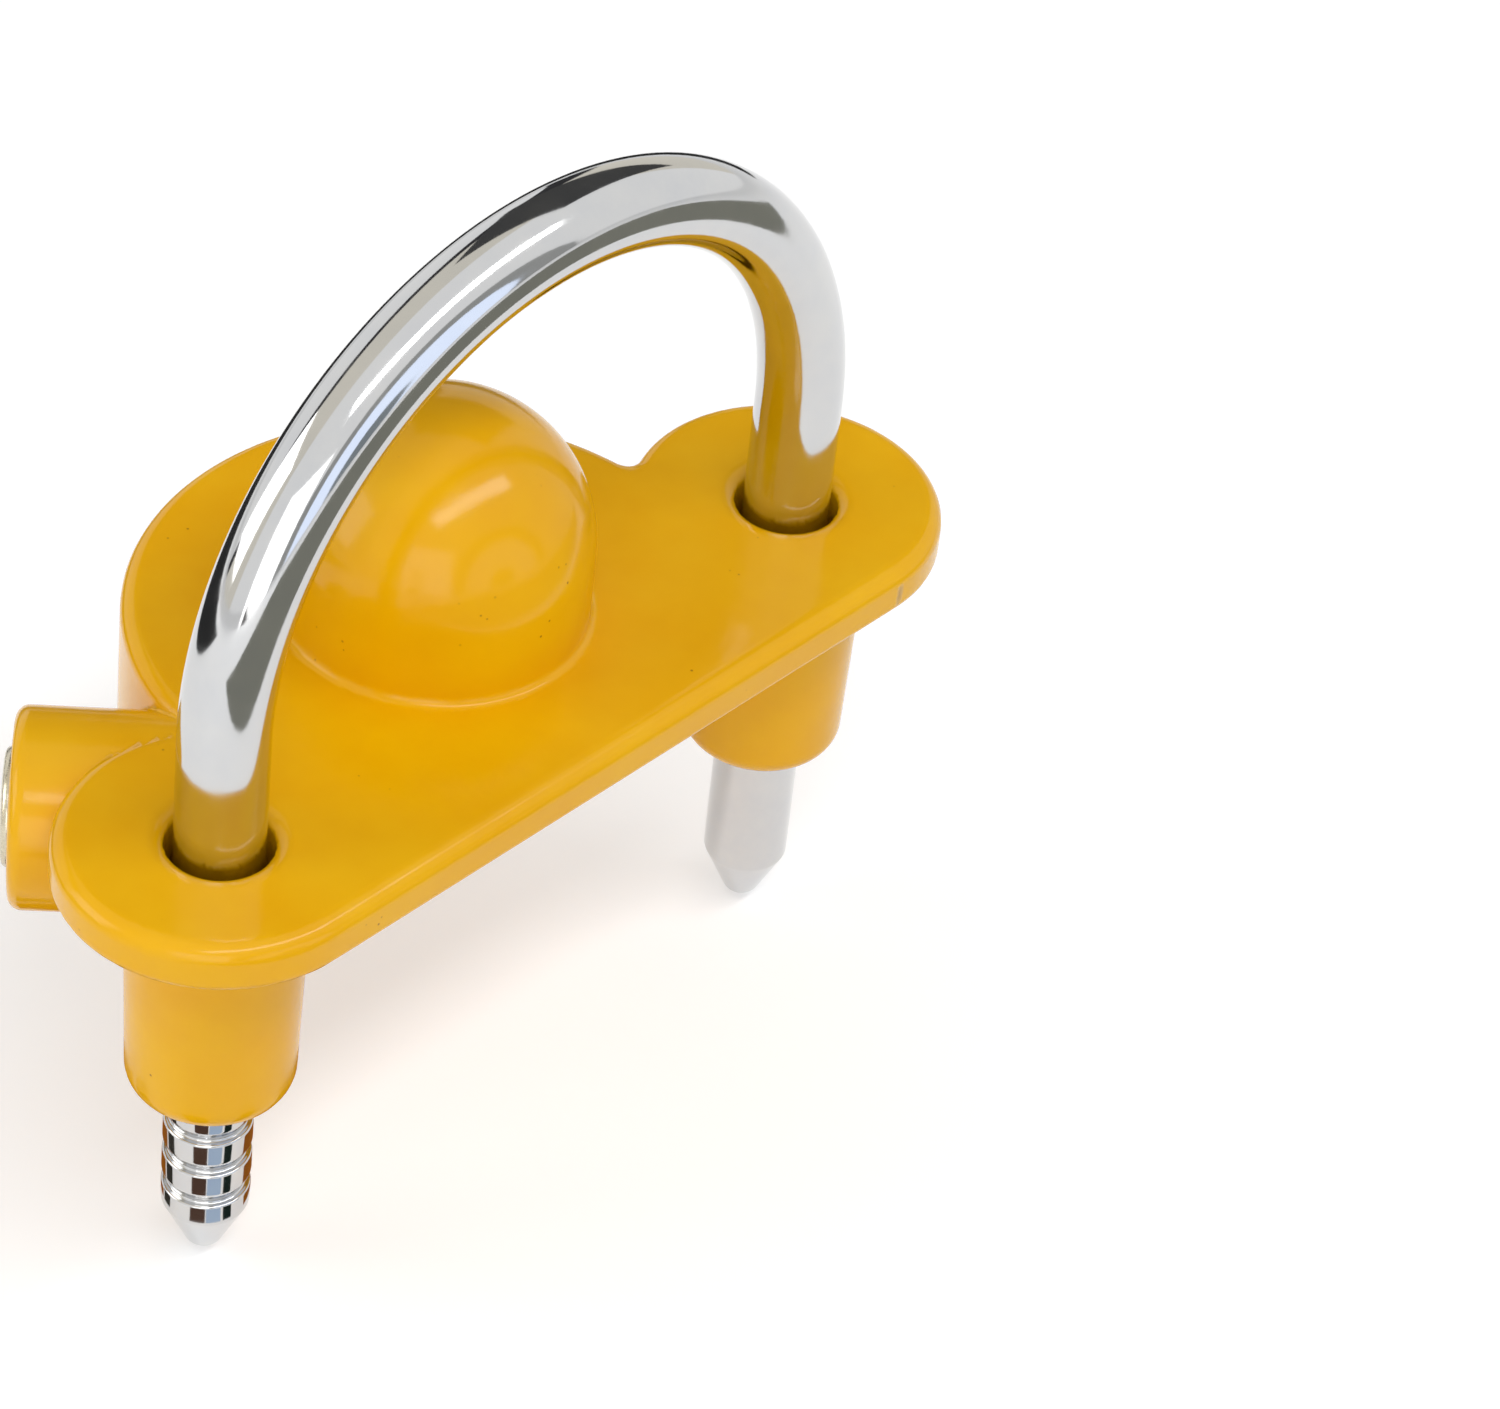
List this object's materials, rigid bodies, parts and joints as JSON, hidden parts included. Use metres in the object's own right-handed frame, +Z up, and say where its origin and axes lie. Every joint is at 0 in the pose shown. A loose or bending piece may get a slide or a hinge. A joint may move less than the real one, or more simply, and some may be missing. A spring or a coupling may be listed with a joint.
{
  "type": "trailer coupler lock",
  "caption": "Anti-theft lock for a trailer coupler: yellow cast body with a coupler stub, grooved steel shackle and a key cylinder that drives a locking bolt.",
  "frame": {"origin": "on the axis of the coupler stub, at the plate's top face", "axes": "+Z up along the stub axis, +X towards the key cylinder side, -Y towards the coupler's nose"},
  "size_m": [0.1572, 0.0828, 0.1572],
  "materials": {
    "body_paint": "glossy yellow powder coat",
    "shackle_chrome": "bright chrome plate",
    "cylinder_steel": "satin nickel",
    "plug_brass": "nickel-plated brass, satin",
    "pin_brass": "plain",
    "pin_steel": "plain",
    "spring_bronze": "plain",
    "seal_rubber": "matte",
    "inner_steel": "zinc plated"
  },
  "bodies": {
    "body": {"lock_body": "body_paint", "cylinder_barrel": "cylinder_steel", "driver_pins": "pin_steel", "pin_springs": "spring_bronze", "chamber_cover": "pin_brass", "cylinder_seal": "seal_rubber", "bolt_spring": "inner_steel", "spring_plug": "inner_steel", "retaining_pin": "inner_steel"},
    "shackle": {"shackle": "shackle_chrome"},
    "plug": {"key_plug": "plug_brass", "anti_drill_pins": "inner_steel", "key_pin_1": "pin_brass", "key_pin_2": "pin_brass", "key_pin_3": "pin_brass", "key_pin_4": "pin_brass", "key_pin_5": "pin_brass", "plug_clip": "inner_steel", "cam": "inner_steel"},
    "bolt": {"locking_bolt": "inner_steel"}
  },
  "joints": [
    {"name": "shackle_slide", "type": "slide", "parent": "body", "child": "shackle", "axis": [0, 0, 1], "range_m": [0, 0.095]},
    {"name": "key_turn", "type": "hinge", "parent": "body", "child": "plug", "pos_m": [0.04166, 0.00186, -0.0145], "axis": [0.7071, -0.7071, 0], "range_deg": [0, 90]},
    {"name": "bolt_slide", "type": "slide", "parent": "body", "child": "bolt", "axis": [0.7071, 0.7071, 0], "range_m": [0, 0.0015]}
  ],
  "couplings": [
    {"joint": "bolt_slide", "follows": "key_turn", "m_per_rad": 0.00095492}
  ]
}
